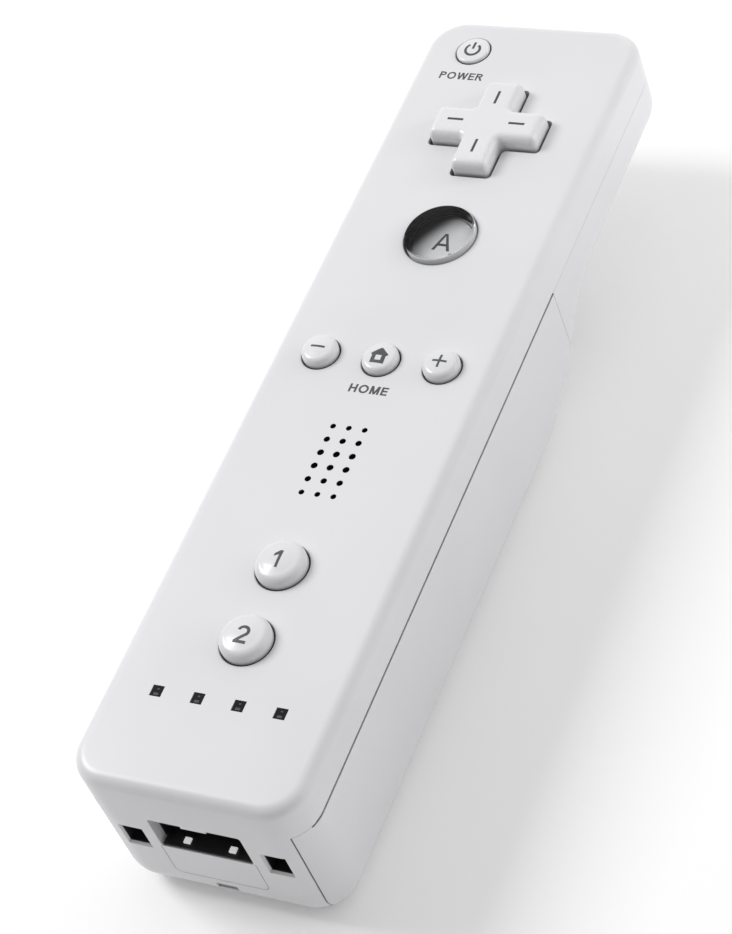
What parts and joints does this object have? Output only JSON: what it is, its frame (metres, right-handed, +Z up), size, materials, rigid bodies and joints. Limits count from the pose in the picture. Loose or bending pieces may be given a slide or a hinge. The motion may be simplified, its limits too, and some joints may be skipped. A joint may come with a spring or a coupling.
{
  "type": "game controller",
  "caption": "White bar-shaped one-hand motion game controller with a cross rocker, round buttons, a rear trigger, speaker holes and an end port.",
  "frame": {"origin": "centre of the bottom of the bounding box, on the outside of the battery cover", "axes": "controller lies on its back: +Z up out of the face, +Y towards the infrared end, +X to the right of a player"},
  "size_m": [0.0362, 0.148, 0.0308],
  "materials": {
    "shell": "fine satin moulded white",
    "button": "smooth white",
    "clear": "clear acrylic",
    "dark_window": "polished smoke black",
    "black_plastic": "moulded black",
    "gold": "plated",
    "steel": "plated",
    "tungsten": "sintered",
    "rubber": "matt silicone",
    "board": "green solder mask",
    "lamp": "clear moulded",
    "cloth": "black woven",
    "cell": "printed sleeve",
    "red_button": "smooth red"
  },
  "bodies": {
    "root": {"front_shell": "shell", "rear_shell": "shell", "strap_plate": "shell", "ir_window": "dark_window", "lamp_windows": "dark_window", "port_housing": "black_plastic", "port_nibs": "shell", "port_contacts": "gold", "strap_pin": "steel", "b_trigger_pin": "steel", "b_trigger_spring": "steel", "case_screws": "steel", "battery_springs": "steel", "battery_plates": "steel", "radio_shield": "steel", "crystal": "steel", "dpad_seat": "black_plastic", "upper_keypad": "rubber", "lower_keypad": "rubber", "power_switch": "black_plastic", "sync_switch": "black_plastic", "b_trigger_switch": "black_plastic", "main_pcb": "board", "controller_chip": "black_plastic", "memory_chip": "black_plastic", "accelerometer": "black_plastic", "radio_chip": "black_plastic", "capacitors": "black_plastic", "passives": "black_plastic", "lamps": "lamp", "speaker": "steel", "speaker_gasket": "rubber", "speaker_cloth": "cloth", "rumble_motor": "steel", "rumble_mount": "rubber", "cell_1": "cell", "cell_2": "cell", "ir_camera": "black_plastic", "ir_camera_lens": "dark_window"},
    "power_button": {"power_button": "button"},
    "minus_button": {"minus_button": "button"},
    "home_button": {"home_button": "button"},
    "plus_button": {"plus_button": "button"},
    "one_button": {"one_button": "button"},
    "two_button": {"two_button": "button"},
    "a_button": {"a_lens": "clear", "a_base": "button"},
    "dpad_pivot": {"dpad_pivot": "steel"},
    "dpad": {"dpad": "button"},
    "b_trigger": {"b_trigger": "shell"},
    "battery_cover": {"battery_cover": "shell"},
    "rumble_weight": {"rumble_weight": "tungsten"},
    "sync_button": {"sync_button": "red_button"}
  },
  "joints": [
    {"name": "power_press", "type": "slide", "parent": "root", "child": "power_button", "axis": [0, 0, -1], "range_m": [0, 0.0006], "stiffness_N_per_m": 450, "springref_m": -0.0012},
    {"name": "minus_press", "type": "slide", "parent": "root", "child": "minus_button", "axis": [0, 0, -1], "range_m": [0, 0.0008], "stiffness_N_per_m": 450, "springref_m": -0.0012},
    {"name": "home_press", "type": "slide", "parent": "root", "child": "home_button", "axis": [0, 0, -1], "range_m": [0, 0.0008], "stiffness_N_per_m": 450, "springref_m": -0.0012},
    {"name": "plus_press", "type": "slide", "parent": "root", "child": "plus_button", "axis": [0, 0, -1], "range_m": [0, 0.0008], "stiffness_N_per_m": 450, "springref_m": -0.0012},
    {"name": "one_press", "type": "slide", "parent": "root", "child": "one_button", "axis": [0, 0, -1], "range_m": [0, 0.0011], "stiffness_N_per_m": 450, "springref_m": -0.0012, "deforming": ["lower_keypad"]},
    {"name": "two_press", "type": "slide", "parent": "root", "child": "two_button", "axis": [0, 0, -1], "range_m": [0, 0.0011], "stiffness_N_per_m": 450, "springref_m": -0.0012},
    {"name": "a_press", "type": "slide", "parent": "root", "child": "a_button", "axis": [0, 0, -1], "range_m": [0, 0.0013], "stiffness_N_per_m": 450, "springref_m": -0.0012, "deforming": ["upper_keypad"]},
    {"name": "dpad_rock_x", "type": "hinge", "parent": "root", "child": "dpad_pivot", "pos_m": [0, 0.0496, 0.0243], "axis": [1, 0, 0], "range_deg": [-4, 4], "stiffness_Nm_per_rad": 0.05},
    {"name": "dpad_rock_y", "type": "hinge", "parent": "dpad_pivot", "child": "dpad", "pos_m": [0, 0.0496, 0.0243], "axis": [0, 1, 0], "range_deg": [-4, 4], "stiffness_Nm_per_rad": 0.05},
    {"name": "trigger_pull", "type": "hinge", "parent": "root", "child": "b_trigger", "pos_m": [0, 0.0615, 0.0164], "axis": [-1, 0, 0], "range_deg": [0, 8], "stiffness_Nm_per_rad": 0.12, "springref_deg": -14.32, "deforming": ["b_trigger_spring"]},
    {"name": "cover_lift", "type": "slide", "parent": "root", "child": "battery_cover", "axis": [0, 0, -1], "range_m": [0, 0.035]},
    {"name": "rumble_spin", "type": "hinge", "parent": "root", "child": "rumble_weight", "pos_m": [0, 0.012, 0.0108], "axis": [1, 0, 0], "continuous": true},
    {"name": "sync_press", "type": "slide", "parent": "root", "child": "sync_button", "axis": [0, 0, 1], "range_m": [0, 0.0006], "stiffness_N_per_m": 400, "springref_m": -0.0012}
  ]
}
